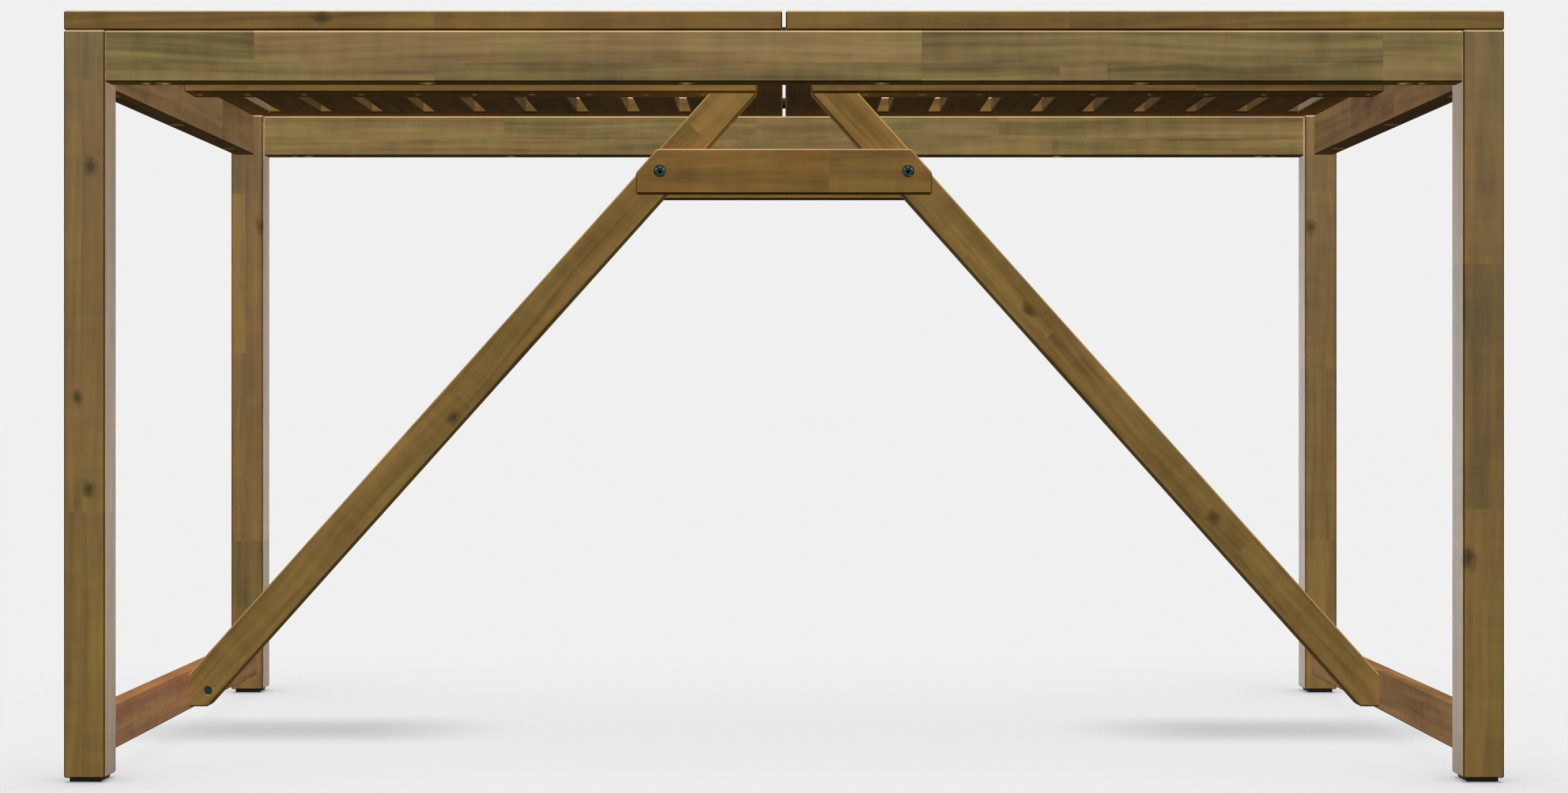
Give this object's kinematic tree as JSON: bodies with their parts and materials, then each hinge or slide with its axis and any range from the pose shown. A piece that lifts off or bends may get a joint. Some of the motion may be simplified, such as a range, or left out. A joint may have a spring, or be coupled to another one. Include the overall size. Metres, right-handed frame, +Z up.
{
  "type": "slatted garden dining table",
  "caption": "Rectangular slatted garden table: framed slat panels on an apron frame with square legs, low end stretchers, diagonal braces and link boards.",
  "frame": {"origin": "on the floor under the middle of the table", "axes": "+X along the table's length, +Y across it towards the rear, +Z up; the front long side faces -Y"},
  "size_m": [1.4, 0.75, 0.75],
  "materials": {
    "top_wood": "oiled light-brown acacia, finger-jointed staves",
    "frame_wood": "oiled light-brown acacia, finger-jointed staves",
    "red_brown_wood": "oiled acacia, redder boards",
    "dowel_wood": "plain fluted beech, hidden in the joints",
    "zinc_steel": "blue-passivated zinc plate",
    "black_plastic": "matte moulded plastic"
  },
  "bodies": {
    "root": {"apron_barrel_nuts": "zinc_steel", "apron_bolts": "zinc_steel", "apron_front": "frame_wood", "apron_left": "frame_wood", "apron_rear": "frame_wood", "apron_right": "frame_wood", "batten_left": "frame_wood", "batten_right": "frame_wood", "batten_screws": "zinc_steel", "brace_foot_barrel_nuts": "zinc_steel", "brace_foot_bolts": "zinc_steel", "brace_left": "frame_wood", "brace_right": "frame_wood", "brace_top_screws": "zinc_steel", "foot_nails": "zinc_steel", "foot_pad_front_left": "black_plastic", "foot_pad_front_right": "black_plastic", "foot_pad_rear_left": "black_plastic", "foot_pad_rear_right": "black_plastic", "frame_dowels": "dowel_wood", "leg_front_left": "frame_wood", "leg_front_right": "frame_wood", "leg_rear_left": "frame_wood", "leg_rear_right": "frame_wood", "link_board_front": "red_brown_wood", "link_board_rear": "red_brown_wood", "link_bolts": "zinc_steel", "link_cap_nuts": "zinc_steel", "slat_dowels_left": "dowel_wood", "slat_dowels_right": "dowel_wood", "slat_left_1": "top_wood", "slat_left_2": "top_wood", "slat_left_3": "top_wood", "slat_left_4": "top_wood", "slat_left_5": "top_wood", "slat_left_6": "top_wood", "slat_left_7": "top_wood", "slat_left_8": "top_wood", "slat_left_9": "top_wood", "slat_right_1": "top_wood", "slat_right_2": "top_wood", "slat_right_3": "top_wood", "slat_right_4": "top_wood", "slat_right_5": "top_wood", "slat_right_6": "top_wood", "slat_right_7": "top_wood", "slat_right_8": "top_wood", "slat_right_9": "top_wood", "stretcher_left": "red_brown_wood", "stretcher_right": "red_brown_wood", "top_left_edge_front": "top_wood", "top_left_edge_rear": "top_wood", "top_left_end_inner": "top_wood", "top_left_end_outer": "top_wood", "top_right_edge_front": "top_wood", "top_right_edge_rear": "top_wood", "top_right_end_inner": "top_wood", "top_right_end_outer": "top_wood", "top_screws": "zinc_steel", "top_spacers": "black_plastic"}
  },
  "joints": []
}
